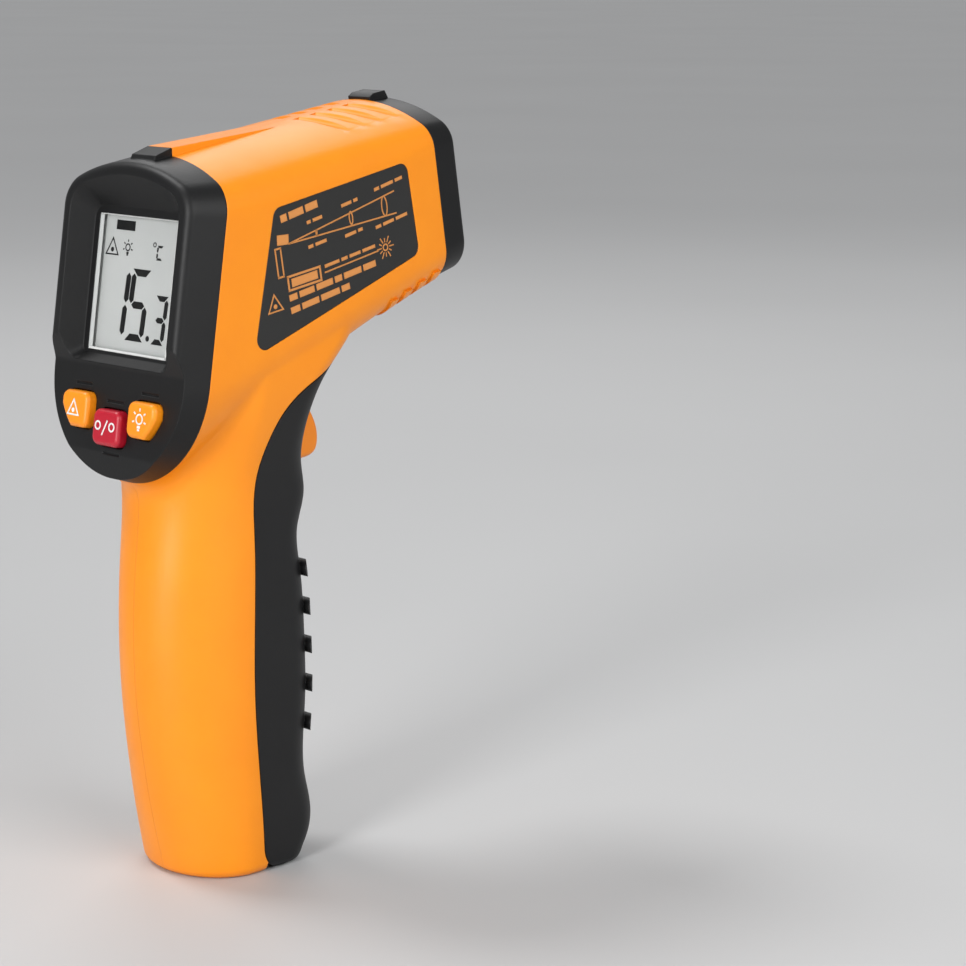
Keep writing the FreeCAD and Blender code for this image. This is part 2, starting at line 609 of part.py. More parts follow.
# ---------------------------------------------------------------- trigger
def pivot_frame(x, z):
    return (PIVOT[0] + x, PIVOT[1] + z)


trigger_half = size("trigger_width") / 2
front = [pivot_frame(*spot) for spot in ((3.0, 1.6), (8.6, -4.4), (13.6, -10.9), (15.8, -17.2),
                                         (15.0, -20.0), (11.6, -21.2), (4.6, -21.8))]
back_line = [pivot_frame(*spot) for spot in ((1.2, -19.0), (-1.2, -9), (-3.2, -1.0))]
curve = Part.BSplineCurve()
curve.interpolate([Vector(x, -trigger_half, z) for x, z in front])
corners = [Vector(x, -trigger_half, z) for x, z in (front[-1:] + back_line + front[:1])]
lines = [Part.makeLine(first, second) for first, second in zip(corners, corners[1:])]
blade = Part.Face(Part.Wire([curve.toShape()] + lines)).extrude(Vector(0, 2 * trigger_half, 0))
rim_edges = [edge for edge in blade.Edges if edge.Curve.TypeId == "Part::GeomBSplineCurve"]
blade = blade.makeFillet(1.4, rim_edges)
blade = blade.fuse(post(GRIP, *PIVOT, -trigger_half, trigger_half, size("hub_size")))
pin_size, pin_gap = size("trigger_pin_size"), size("pin_gap")
blade = blade.cut(post(GRIP, *PIVOT, -20, 20, pin_size + 2 * pin_gap))
node(sculpt("trigger", blade))
PIVOT_Z = "face_height - pivot_drop"
node(rod_y("trigger_pin", "Grip", "pivot_x", "0", PIVOT_Z, "trigger_pin_size", "18"))

node(box("trigger_board", "Grip", "-2.6", "0", f"{PIVOT_Z} - 20.5", "board_thick", "15", "15"))
switch_body = box("switch_body", "Grip", "-2.6 + board_thick", "0", f"{PIVOT_Z} - 19.5", "4", "6", "6")
switch_tip = rod_x("switch_tip", "Grip", "-2.6 + board_thick + 3", "0", f"{PIVOT_Z} - 16.5", "2.6",
                   "6.6")
node(fuse("trigger_switch", [switch_body, switch_tip]))


def coil(frame, x, z, long, turns, diameter, wire, y=0.0):
    """A compression spring along X: a helix between two closed end rings."""
    radius = diameter / 2 - wire / 2
    helix = Part.makeHelix((long - wire) / turns, long - wire, radius)
    profile = Part.Wire(Part.makeCircle(wire / 2, Vector(radius, 0, 0), Vector(0, 1, 0)))
    spring = Part.Wire(helix.Edges).makePipeShell([profile], True, True)
    spring.Placement = frame.multiply(Placement(Vector(x + wire / 2, y, z),
                                                Rotation(Vector(0, 1, 0), 90)))
    return spring


spring_z = PIVOT[1] - 9
spring_x = -2.6 + size("board_thick")
spring_end = PIVOT[0] - 1.3
node(sculpt("trigger_spring", coil(GRIP, spring_x, spring_z, spring_end - spring_x, 7,
                                   size("spring_size"), size("wire_size"))))

# ---------------------------------------------------------------- battery door and bay
door = grip_form().common(door_region(GAP, [(60, 9), (16, 9), (14.4, 3.6), (11.2, 0)]))
door = door.cut(head_form())
rib_lowest, rib_pitch, rib_proud = 28.7, 8.15, size("rib_proud")
ribs = [post(GRIP, front_at(height) + rib_proud - size("rib_size") / 2, level(height), -HEAD_HALF,
             HEAD_HALF, size("rib_size"))
        for height in (rib_lowest + rib_pitch * step for step in range(5))]
door = door.fuse([rib.common(grip_form(-rib_proud)) for rib in ribs])
door = door.cut(grip_form(WALL).common(half_space(GRIP, -100, 100, WALL)))
knuckle_low, knuckle_high = lug_half + size("part_gap"), GRIP_HALF - WALL / 2
knuckles = [bar(GRIP, (HINGE[0], side * knuckle_low, HINGE[1]),
                (HINGE[0], side * knuckle_high, HINGE[1]), HINGE[1] - 0.4) for side in (-1, 1)]
notch = Part.makeBox(20, 2 * knuckle_low, 10, Vector(HINGE[0] + 3.2 - 20, -knuckle_low, -1))
door_slot = Part.makeBox(40, 2 * TRIGGER_SLOT, 40, Vector(0, -TRIGGER_SLOT, PIVOT[1] - 22.9))
door = door.fuse(knuckles).cut([notch, door_slot,
                                post(GRIP, *HINGE, -12.3, 12.3,
                                     size("hinge_pin_size") + 2 * pin_gap)])
node(sculpt("battery_door", door))
node(rod_y("door_hinge_pin", "Grip", "hinge_x", "0", "hinge_height", "hinge_pin_size", "24"))

bay_x = "cell_x - cell_size / 2 - 0.2"
bay_wide = "2 * cell_size + 0.8"
tray_out = box("tray_body", "Grip", f"{bay_x} - tray_wall", "0", "bay_start - tray_wall",
               "cell_size + tray_wall - 2.6", f"{bay_wide} + 2 * tray_wall",
               "coil_long + cell_long + 2 * contact_thick + 2 * tray_wall")
tray_in = box("tray_space", "Grip", bay_x, "0", "bay_start", "cell_size + 9", bay_wide,
              "coil_long + cell_long + 2 * contact_thick")
node(cut("battery_tray", tray_out, tray_in))
for index, side in ((1, 1), (2, -1)):
    y = f"{side} * (cell_size / 2 + 0.1)"
    base = "bay_start + contact_thick + coil_long"
    can = rod_z(f"cell_can_{index}", "Grip", "cell_x", y, base, "cell_size", "cell_long - 1")
    tip = rod_z(f"cell_tip_{index}", "Grip", "cell_x", y, f"{base} + cell_long - 1", "3.8", "1")
    node(fuse(f"battery_{index}", [can, tip]))
node(group("battery_contacts", [
    box("contact_low", "Grip", f"{bay_x} + 0.2", "0", "bay_start", "cell_size - 1.5",
        f"{bay_wide} - 0.4", "contact_thick"),
    box("contact_left", "Grip", f"{bay_x} + 0.2", "cell_size / 2 + 0.2",
        "bay_start + contact_thick + coil_long + cell_long", "cell_size - 1.5", "cell_size - 1.5",
        "contact_thick"),
    box("contact_right", "Grip", f"{bay_x} + 0.2", "-cell_size / 2 - 0.2",
        "bay_start + contact_thick + coil_long + cell_long", "cell_size - 1.5", "cell_size - 1.5",
        "contact_thick")]))
upright = Placement(Vector(0, 0, 0), Rotation(Vector(0, 1, 0), -90))
coils = [coil(upright, size("bay_start") + size("contact_thick"), -size("cell_x"),
              size("coil_long"), 3, 6.0, 0.7, side * (size("cell_size") / 2 + 0.1))
         for side in (1, -1)]
node(sculpt("contact_springs", Part.makeCompound(coils)))

# ---------------------------------------------------------------- check and write
doc.recompute()
for item in doc.Objects:
    if "Invalid" in item.State or "Error" in item.State:
        raise RuntimeError(f"{item.Label}: {item.State}")
for name, item in nodes.items():
    if item.Shape.isNull() or not item.Shape.isValid() or not item.Shape.Solids:
        raise RuntimeError(f"{name}: no valid solid")
os.makedirs("parts", exist_ok=True)
for name, item in nodes.items():
    item.Shape.exportStep(f"parts/{name}.step")
    print(f"{name}: {len(item.Shape.Solids)} solid(s), {item.Shape.Volume:.0f} mm3")
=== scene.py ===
"""Infrared thermometer: finishes, display, prints and studio around the fixed frame."""

import logging
import math
from dataclasses import dataclass, field
from enum import Enum

import bpy
from mathutils import Matrix, Vector


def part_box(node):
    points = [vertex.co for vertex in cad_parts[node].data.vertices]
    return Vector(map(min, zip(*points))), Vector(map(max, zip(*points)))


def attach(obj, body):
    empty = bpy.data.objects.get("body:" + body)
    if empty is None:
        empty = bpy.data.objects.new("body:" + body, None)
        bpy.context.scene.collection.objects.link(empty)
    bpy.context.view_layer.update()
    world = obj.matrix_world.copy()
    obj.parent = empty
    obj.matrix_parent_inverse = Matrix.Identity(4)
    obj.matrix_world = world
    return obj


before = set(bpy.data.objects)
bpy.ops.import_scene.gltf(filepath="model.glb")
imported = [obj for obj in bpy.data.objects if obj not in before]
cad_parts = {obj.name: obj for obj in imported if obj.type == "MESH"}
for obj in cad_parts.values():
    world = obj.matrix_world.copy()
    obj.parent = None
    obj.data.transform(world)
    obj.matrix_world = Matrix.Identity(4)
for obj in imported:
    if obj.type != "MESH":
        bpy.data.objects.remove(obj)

LOG = logging.getLogger("thermometer")
MM = 0.001
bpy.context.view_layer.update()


class Tone(Enum):
    """Colours of the plastics, films and inks, as sRGB hex values."""

    ORANGE = "#FD9814"
    ORANGE_DEEP = "#F68C0E"
    TRIGGER = "#F98A12"
    BLACK = "#101010"
    BLACK_WORN = "#161617"
    GRIP = "#141414"
    GRIP_WORN = "#1C1C1D"
    RED = "#C4162F"
    RED_DEEP = "#A80F26"
    LCD = "#CED0CE"
    LCD_DEEP = "#C0C3C1"
    INK = "#060606"
    WHITE = "#F4F4F2"
    FILM = "#222221"
    FILM_DEEP = "#1B1B1A"
    PRINT = "#D98F4A"
    BOARD = "#0F5C33"
    BOARD_DEEP = "#0A4426"
    CELL = "#2B3A55"
    CELL_BAND = "#C9A24A"
    FLOOR = "#C6C6C6"
    FLOOR_DEEP = "#BFBFBF"
    ROOM = "#E6E8EB"
    TRACK = "#2F8A55"
    CELL_TIP = "#B9BBBD"
    RUBBER = "#4C4E52"


def linear(code: str) -> tuple[float, float, float, float]:
    """Turn an sRGB hex colour into linear values.

    Args:
        code: The colour as #RRGGBB.

    Returns:
        Linear red, green and blue, with full alpha.
    """
    parts = [int(code[place:place + 2], 16) / 255 for place in (1, 3, 5)]
    curve = [p / 12.92 if p <= 0.04045 else ((p + 0.055) / 1.055) ** 2.4 for p in parts]
    return (*curve, 1.0)


def add_node(tree: bpy.types.NodeTree, kind: str, settings: dict | None = None,
             links: dict | None = None) -> bpy.types.Node:
    """Add a node with its settings and incoming links.

    Args:
        tree: The node tree that takes it.
        kind: The node's type, without the ShaderNode prefix.
        settings: Attribute names, or input names, and their values.
        links: Input names and the sockets that feed them.

    Returns:
        The new node.
    """
    node = tree.nodes.new(f"ShaderNode{kind}")
    for name, value in (settings or {}).items():
        if name in node.inputs:
            node.inputs[name].default_value = value
        else:
            setattr(node, name, value)
    for name, socket in (links or {}).items():
        tree.links.new(socket, node.inputs[name])
    return node


def new_material(name: str) -> tuple[bpy.types.Material, bpy.types.NodeTree]:
    """Make an empty node material.

    Args:
        name: The material's name.

    Returns:
        The material and its cleared node tree.
    """
    material = bpy.data.materials.new(name)
    material.use_nodes = True
    material.node_tree.nodes.clear()
    return material, material.node_tree


@dataclass(frozen=True)
class MouldedPlastic:
    """Injection-moulded thermoplastic with a spark-eroded grain."""

    name: str
    tone: Tone
    shade: Tone
    roughness: float
    grain_mm: float = 0.5
    grain_depth: float = 0.12
    ior: float = 1.53
    patch_mm: float = 14.0
    edge_mm: float = 0.35

    def build(self) -> bpy.types.Material:
        """Build the material: patchy tone, uneven gloss, fine grain and eased edges."""
        material, tree = new_material(self.name)
        place = add_node(tree, "TexCoord").outputs["Object"]
        patch = add_node(tree, "TexNoise", {"Scale": 1 / (self.patch_mm * MM), "Detail": 4.0,
                                            "Roughness": 0.6}, {"Vector": place})
        tone = add_node(tree, "MixRGB", {"Color1": linear(self.tone.value),
                                         "Color2": linear(self.shade.value)},
                        {"Fac": patch.outputs["Fac"]})
        grain = add_node(tree, "TexNoise", {"Scale": 1 / (self.grain_mm * MM), "Detail": 2.0},
                         {"Vector": place})
        gloss = add_node(tree, "MapRange", {"To Min": self.roughness - 0.05,
                                            "To Max": self.roughness + 0.07},
                         {"Value": patch.outputs["Fac"]})
        eased = add_node(tree, "Bevel", {"samples": 6, "Radius": self.edge_mm * MM})
        bump = add_node(tree, "Bump", {"Strength": self.grain_depth, "Distance": 0.1 * MM},
                        {"Height": grain.outputs["Fac"], "Normal": eased.outputs["Normal"]})
        shader = add_node(tree, "BsdfPrincipled", {"IOR": self.ior},
                          {"Base Color": tone.outputs["Color"], "Normal": bump.outputs["Normal"],
                           "Roughness": gloss.outputs["Result"]})
        add_node(tree, "OutputMaterial", links={"Surface": shader.outputs["BSDF"]})
        return material


@dataclass(frozen=True)
class ClearSheet:
    """Clear acrylic or coated glass, seen through with a bright surface."""

    name: str
    tone: Tone
    alpha: float
    roughness: float = 0.06
    ior: float = 1.49

    def build(self) -> bpy.types.Material:
        """Build the material, faintly hazed so that it isn't perfect."""
        material, tree = new_material(self.name)
        place = add_node(tree, "TexCoord").outputs["Object"]
        haze = add_node(tree, "TexNoise", {"Scale": 1 / (6 * MM), "Detail": 3.0}, {"Vector": place})
        gloss = add_node(tree, "MapRange", {"To Min": self.roughness, "To Max": self.roughness + 0.05},
                         {"Value": haze.outputs["Fac"]})
        shader = add_node(tree, "BsdfPrincipled", {"Base Color": linear(self.tone.value),
                                                   "IOR": self.ior, "Alpha": self.alpha},
                          {"Roughness": gloss.outputs["Result"]})
        add_node(tree, "OutputMaterial", links={"Surface": shader.outputs["BSDF"]})
        return material


@dataclass(frozen=True)
class Metal:
    """Turned, drawn or plated metal with fine lay lines."""

    name: str
    colour: str
    roughness: float
    lay_mm: float = 0.3

    def build(self) -> bpy.types.Material:
        """Build the material with stretched noise as the tool marks."""
        material, tree = new_material(self.name)
        place = add_node(tree, "TexCoord").outputs["Object"]
        turn = add_node(tree, "Mapping", {"Scale": (1.0, 6.0, 1.0)}, {"Vector": place})
        lay = add_node(tree, "TexNoise", {"Scale": 1 / (self.lay_mm * MM), "Detail": 3.0},
                       {"Vector": turn.outputs["Vector"]})
        gloss = add_node(tree, "MapRange", {"To Min": self.roughness - 0.06,
                                            "To Max": self.roughness + 0.10},
                         {"Value": lay.outputs["Fac"]})
        bump = add_node(tree, "Bump", {"Strength": 0.1, "Distance": 0.05 * MM},
                        {"Height": lay.outputs["Fac"]})
        shader = add_node(tree, "BsdfPrincipled", {"Base Color": linear(self.colour), "Metallic": 1.0},
                          {"Roughness": gloss.outputs["Result"], "Normal": bump.outputs["Normal"]})
        add_node(tree, "OutputMaterial", links={"Surface": shader.outputs["BSDF"]})
        return material


@dataclass(frozen=True)
class CircuitBoard:
    """Glass-epoxy board under green solder mask, with copper tracks beneath it."""

    name: str = "solder_masked_epoxy_board"
    track_mm: float = 1.6

    def build(self) -> bpy.types.Material:
        """Build the material: a grid of tracks raised a hair under the mask."""
        material, tree = new_material(self.name)
        place = add_node(tree, "TexCoord").outputs["Object"]
        grid = add_node(tree, "TexBrick", {"Scale": 1 / (self.track_mm * 4 * MM), "Mortar Size": 0.02,
                                           "Color1": linear(Tone.BOARD.value),
                                           "Color2": linear(Tone.BOARD_DEEP.value),
                                           "Mortar": linear(Tone.TRACK.value)}, {"Vector": place})
        bump = add_node(tree, "Bump", {"Strength": 0.3, "Distance": 0.05 * MM},
                        {"Height": grid.outputs["Fac"]})
        shader = add_node(tree, "BsdfPrincipled", {"Roughness": 0.32, "IOR": 1.55},
                          {"Base Color": grid.outputs["Color"], "Normal": bump.outputs["Normal"]})
        add_node(tree, "OutputMaterial", links={"Surface": shader.outputs["BSDF"]})
        return material


@dataclass(frozen=True)
class CellFilm:
    """Printed plastic film shrunk on a dry cell, in two colour bands, no lettering."""

    low: float
    high: float
    name: str = "shrunk_cell_film"

    def build(self) -> bpy.types.Material:
        """Build the material: dark film with a metallic band at the positive end."""
        material, tree = new_material(self.name)
        place = add_node(tree, "TexCoord").outputs["Object"]
        split = add_node(tree, "SeparateXYZ", links={"Vector": place})
        band = add_node(tree, "MapRange", {"From Min": self.low, "From Max": self.high,
                                           "interpolation_type": "LINEAR"},
                        {"Value": split.outputs["Z"]})
        ramp = add_node(tree, "ValToRGB", links={"Fac": band.outputs["Result"]})
        ramp.color_ramp.interpolation = "CONSTANT"
        ramp.color_ramp.elements[0].color = linear(Tone.CELL.value)
        ramp.color_ramp.elements[1].position = 0.72
        ramp.color_ramp.elements[1].color = linear(Tone.CELL_BAND.value)
        tip = ramp.color_ramp.elements.new(0.975)
        tip.color = linear(Tone.CELL_TIP.value)
        shader = add_node(tree, "BsdfPrincipled", {"Roughness": 0.3, "IOR": 1.5},
                          {"Base Color": ramp.outputs["Color"]})
        add_node(tree, "OutputMaterial", links={"Surface": shader.outputs["BSDF"]})
        return material


ORANGE_ABS = MouldedPlastic("moulded_orange_abs", Tone.ORANGE, Tone.ORANGE_DEEP, 0.38, 0.45, 0.05, 1.46)
BLACK_ABS = MouldedPlastic("moulded_black_abs", Tone.BLACK, Tone.BLACK_WORN, 0.44, 0.4, 0.16, 1.38)
SOFT_GRIP = MouldedPlastic("soft_touch_black_coating", Tone.GRIP, Tone.GRIP_WORN, 0.48, 0.35, 0.18, 1.38)
TRIGGER_ABS = MouldedPlastic("moulded_trigger_orange", Tone.TRIGGER, Tone.ORANGE_DEEP, 0.38, 0.45, 0.05)
KEY_ORANGE = MouldedPlastic("moulded_orange_key", Tone.ORANGE, Tone.ORANGE_DEEP, 0.34, 0.5, 0.04)
KEY_RED = MouldedPlastic("moulded_red_key", Tone.RED, Tone.RED_DEEP, 0.34, 0.5, 0.04)
LCD_FILM = MouldedPlastic("reflective_lcd_film", Tone.LCD, Tone.LCD_DEEP, 0.42, 0.25, 0.03, 1.5)
LCD_EDGE = MouldedPlastic("lcd_film_edge", Tone.LCD, Tone.LCD_DEEP, 0.42, 0.25, 0.03, 1.5)
LCD_INK = MouldedPlastic("liquid_crystal_black", Tone.INK, Tone.INK, 0.5, 0.3, 0.02, 1.5)
WHITE_INK = MouldedPlastic("white_pad_print", Tone.WHITE, Tone.WHITE, 0.5, 0.2, 0.05, 1.5)
LABEL_FILM = MouldedPlastic("matt_polyester_label", Tone.FILM, Tone.FILM_DEEP, 0.46, 0.2, 0.10)
LABEL_INK = MouldedPlastic("orange_screen_print", Tone.PRINT, Tone.PRINT, 0.5, 0.2, 0.08, 1.5)
MILKY = MouldedPlastic("milky_light_guide", Tone.WHITE, Tone.LCD, 0.3, 0.5, 0.02)
CHIP_EPOXY = MouldedPlastic("moulded_chip_epoxy", Tone.BLACK, Tone.BLACK_WORN, 0.5, 0.15, 0.2)
STRIPED_RUBBER = MouldedPlastic("conductive_rubber", Tone.RUBBER, Tone.GRIP, 0.6, 0.2, 0.2)
WINDOW = ClearSheet("clear_acrylic_window", Tone.BLACK, 0.045)
IR_GLASS = ClearSheet("coated_infrared_lens", Tone.BLACK_WORN, 0.92, 0.08, 2.4)
ZINC = Metal("zinc_plated_steel", "#B8BBBE", 0.34)
SPRING = Metal("drawn_spring_wire", "#A9ACB0", 0.28)
NICKEL = Metal("nickel_plate", "#C9C6BD", 0.2)
BRASS = Metal("turned_brass", "#C9A45A", 0.26)
DARK_ALLOY = Metal("black_anodised_aluminium", "#3A3B3D", 0.4)


# --------------------------------------------------------------------------- mesh helpers

def deselect() -> None:
    """Leave nothing selected."""
    if bpy.context.object and bpy.context.object.mode != "OBJECT":
        bpy.ops.object.mode_set(mode="OBJECT")
    bpy.ops.object.select_all(action="DESELECT")


def pick(piece: bpy.types.Object) -> None:
    """Select one piece only, and make it active."""
    deselect()
    piece.select_set(True)
    bpy.context.view_layer.objects.active = piece


def finish_modifiers(piece: bpy.types.Object) -> None:
    """Apply every modifier of a piece, in order."""
    pick(piece)
    for modifier in list(piece.modifiers):
        bpy.ops.object.modifier_apply(modifier=modifier.name)


def dress(piece: bpy.types.Object, material: bpy.types.Material) -> None:
    """Give a piece one material in every slot."""
    piece.data.materials.clear()
    piece.data.materials.append(material)


@dataclass
class Sheet:
    """A flat drawing in millimetres that becomes one thin printed piece.

    Args:
        name: The piece's name.
        place: The matrix from the drawing (right, up, out) to the object's frame.
    """

    name: str
    place: Matrix
    marks: list[bpy.types.Object] = field(default_factory=list)

    def _keep(self, turn: float = 0.0, at: tuple[float, float] = (0, 0)) -> None:
        """Turn and move the active mark, then keep it."""
        mark = bpy.context.object
        mark.rotation_euler = (0, 0, turn)
        mark.location = (at[0] * MM, at[1] * MM, 0)
        bpy.ops.object.transform_apply(location=True, rotation=True, scale=True)
        self.marks.append(mark)

    def bar(self, start: tuple[float, float], end: tuple[float, float], width: float) -> None:
        """Draw a straight bar from start to end."""
        deselect()
        run = Vector(end) - Vector(start)
        bpy.ops.mesh.primitive_plane_add(size=1)
        bpy.context.object.scale = (run.length * MM, width * MM, 1)
        bpy.ops.object.transform_apply(scale=True)
        bpy.ops.object.mode_set(mode="EDIT")
        bpy.ops.mesh.subdivide(number_cuts=3)
        bpy.ops.object.mode_set(mode="OBJECT")
        middle = (Vector(start) + Vector(end)) / 2
        self._keep(math.atan2(run.y, run.x), tuple(middle))

    def segment(self, start: tuple[float, float], end: tuple[float, float], width: float,
                outer: int = 0) -> None:
        """Draw a display segment: a bar with pointed ends, or one mitred towards its outer side.

        Args:
            start: One end.
            end: The other end.
            width: The segment's width.
            outer: 1 for an outer side above, -1 for one below, 0 for pointed ends.
        """
        deselect()
        run = Vector(end) - Vector(start)
        bpy.ops.mesh.primitive_circle_add(vertices=6, radius=1, fill_type="NGON")
        mark = bpy.context.object
        half, reach = width / 2 * MM, run.length / 2 * MM
        long, short = (reach + half, reach - half) if outer else (reach - half, reach - half)
        point = (long + short) / 2 if outer else reach
        shape = [(point, 0), (long, half), (-long, half), (-point, 0), (-short, -half),
                 (short, -half)]
        for vertex, (x, y) in zip(mark.data.vertices, shape):
            vertex.co = (x, y, 0)
        middle = (Vector(start) + Vector(end)) / 2
        self._keep(math.atan2(run.y, run.x) + (math.pi if outer < 0 else 0.0), tuple(middle))

    def disc(self, at: tuple[float, float], radius: float, corners: int = 24) -> None:
        """Draw a filled disc, or a regular shape of few corners."""
        deselect()
        bpy.ops.mesh.primitive_circle_add(vertices=corners, radius=radius * MM, fill_type="NGON")
        self._keep(0, at)

    def ring(self, at: tuple[float, float], radius: float, width: float, corners: int = 28,
             squeeze: float = 1.0, turn: float = 0.0) -> None:
        """Draw a ring, ellipse or hollow regular shape."""
        deselect()
        bpy.ops.mesh.primitive_circle_add(vertices=corners, radius=radius * MM, fill_type="NGON")
        bpy.context.object.scale = (squeeze, 1, 1)
        bpy.ops.object.transform_apply(scale=True)
        bpy.ops.object.mode_set(mode="EDIT")
        bpy.ops.mesh.select_all(action="SELECT")
        bpy.ops.mesh.inset(thickness=width * MM)
        bpy.ops.mesh.delete(type="FACE")
        bpy.ops.object.mode_set(mode="OBJECT")
        self._keep(turn, at)

    def frame(self, low: tuple[float, float], high: tuple[float, float], width: float) -> None:
        """Draw the four sides of a box."""
        (x, y), (x_end, y_end) = low, high
        half = width / 2
        self.bar((x - half, y), (x_end + half, y), width)
        self.bar((x - half, y_end), (x_end + half, y_end), width)
        self.bar((x, y), (x, y_end), width)
        self.bar((x_end, y), (x_end, y_end), width)

    def warning(self, at: tuple[float, float], size: float, width: float) -> None:
        """Draw a hollow triangle with a dot in it."""
        self.ring(at, size, width, 3)
        self.disc((at[0], at[1] - size * 0.05), size * 0.2, 12)

    def lamp(self, at: tuple[float, float], size: float, width: float) -> None:
        """Draw a lamp: a bulb, its cap and five rays."""
        x, y = at
        self.ring(at, size * 0.52, width, 20)
        self.bar((x - size * 0.22, y - size * 0.72), (x + size * 0.22, y - size * 0.72), width * 1.6)
        self.bar((x - size * 0.16, y - size * 0.98), (x + size * 0.16, y - size * 0.98), width * 1.2)
        for step in range(5):
            angle = math.radians(-18 + 54 * step)
            direction = Vector((math.cos(angle), math.sin(angle)))
            self.bar(tuple(Vector(at) + direction * size * 0.72),
                     tuple(Vector(at) + direction * size * 1.02), width)

    def press(self, body: str, material: bpy.types.Material, thick: float,
              onto: bpy.types.Object | None = None) -> bpy.types.Object:
        """Join the marks, lay them on the surface and give them thickness.

        Args:
            body: The body that the print rides on.
            material: Its finish.
            thick: Its thickness in millimetres.
            onto: The node whose surface it follows, if that isn't flat.

        Returns:
            The finished piece.
        """
        pick(self.marks[0])
        for mark in self.marks:
            mark.select_set(True)
        if len(self.marks) > 1:
            bpy.ops.object.join()
        piece = bpy.context.object
        piece.name = self.name
        piece.data.transform(self.place)
        if onto is not None:
            wrap = piece.modifiers.new("wrap", "SHRINKWRAP")
            wrap.target = onto
            wrap.wrap_method = "NEAREST_SURFACEPOINT"
            wrap.wrap_mode = "ABOVE_SURFACE"
            wrap.offset = 0.01 * MM
        solid = piece.modifiers.new("thickness", "SOLIDIFY")
        solid.thickness = thick * MM
        solid.offset = 1
        finish_modifiers(piece)
        dress(piece, material)
        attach(piece, body)
        LOG.info("printed %s", self.name)
        return piece


# --------------------------------------------------------------------------- sub-assemblies

def face_matrix(origin: Vector, normal: Vector, up: Vector) -> Matrix:
    """The matrix of a drawing plane.

    Args:
        origin: The drawing's zero point, in metres.
        normal: The way it faces.
        up: Its upward direction, across the normal.

    Returns:
        The matrix from right, up, out to the object's frame.
    """
    right = up.cross(normal)
    turn = Matrix((right, up, normal)).transposed().to_4x4()
    return Matrix.Translation(origin) @ turn


@dataclass
class Display:
    """The liquid-crystal display: its reading, symbols and a highlight painted as pale bars on the edge
    of its window.
    """

    lean: float = 9.0
    digit_slant: float = 0.06
    segment_width: float = 1.4
    ink_depth: float = -0.45
    ink_thick: float = 0.04
    # depth and thickness of the painted highlight bars on the window's bevel, and of the film-toned left
    # strip
    edge_depth: float = 0.36
    edge_thick: float = 0.05
    aside: float = -0.75

    def plane(self, depth: float, aside: float = 0.0) -> Matrix:
        """The drawing plane of the display.

        Args:
            depth: How far it stands in front of the window's middle, in millimetres.
            aside: How far its zero point lies to the right of the middle.

        Returns:
            The matrix from the drawing to the object's frame.
        """
        low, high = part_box("lcd_window")
        angle = math.radians(self.lean)
        normal = Vector((-math.cos(angle), 0, math.sin(angle)))
        up = Vector((math.sin(angle), 0, math.cos(angle)))
        middle = (low + high) / 2 + normal * depth * MM - Vector((0, aside, 0)) * MM
        return face_matrix(middle, normal, up)

    def digit(self, sheet: Sheet, lit: str, at: tuple[float, float], wide: float, high: float,
              width: float) -> None:
        """Draw the lit segments of one digit.

        Args:
            sheet: The drawing that takes them.
            lit: Letters a to g of the lit segments.
            at: The digit's lower left corner.
            wide: Its width between segment middles.
            high: Its height between segment middles.
            width: The width of a segment.
        """
        x, y = at
        gap = width * 0.16

        def spot(u: float, v: float) -> tuple[float, float]:
            return (x + u * wide + v * high * self.digit_slant, y + v * high)
        ends = {"a": ((0, 1), (1, 1)), "b": ((1, 0.5), (1, 1)), "c": ((1, 0), (1, 0.5)),
                "d": ((0, 0), (1, 0)), "e": ((0, 0), (0, 0.5)), "f": ((0, 0.5), (0, 1)),
                "g": ((0, 0.5), (1, 0.5))}
        for letter in lit:
            start, end = Vector(spot(*ends[letter][0])), Vector(spot(*ends[letter][1]))
            trim = (end - start).normalized() * gap
            sheet.segment(tuple(start + trim), tuple(end - trim), width,
                          {"a": 1, "d": -1}.get(letter, 0))

    def build(self, ink: bpy.types.Material, edge: bpy.types.Material,
              film: bpy.types.Material) -> None:
        """Draw the reading and symbols just behind the window, and the highlight painted on the window's
        edge.
        """
        sheet = Sheet("display_segments", self.plane(self.ink_depth, self.aside))
        width = self.segment_width
        self.digit(sheet, "bc", (-5.1, -10.0), 2.6, 12.6, width)
        self.digit(sheet, "afgcd", (-0.9, -10.0), 4.4, 12.6, width)
        sheet.disc((5.5, -9.8), 0.55, 14)
        self.digit(sheet, "abgcd", (7.0, -10.2), 2.8, 8.4, width * 0.78)
        sheet.bar((-7.0, 11.4), (-1.3, 11.4), 1.9)
        sheet.warning((-7.7, 6.6), 2.4, 0.28)
        sheet.lamp((-3.0, 7.2), 1.5, 0.26)
        sheet.ring((5.1, 8.3), 0.5, 0.18, 14)
        self.digit(sheet, "adef", (6.0, 5.6), 1.4, 2.4, 0.45)
        sheet.press("housing", ink, self.ink_thick)
        self.edge(edge, film)

    def edge(self, material: bpy.types.Material, film: bpy.types.Material) -> None:
        """Lay pale bars along the window's bottom, right and top edges as a painted highlight on its
        bevel, and a film-toned strip along the left edge.
        """
        # painted highlight: pale milky bars stand in for light caught on the window's bevel
        sheet = Sheet("window_bevel_painted_highlight", self.plane(self.edge_depth))
        sheet.bar((-11.9, -13.1), (11.9, -13.1), 0.5)
        sheet.bar((11.7, -13.3), (11.7, 13.3), 0.45)
        sheet.bar((-11.9, 13.25), (11.9, 13.25), 0.2)
        sheet.press("housing", material, self.edge_thick)
        side = Sheet("window_left_edge", self.plane(self.edge_depth))
        side.bar((-11.38, -12.85), (-11.38, 13.15), 1.24)
        side.press("housing", film, self.edge_thick)


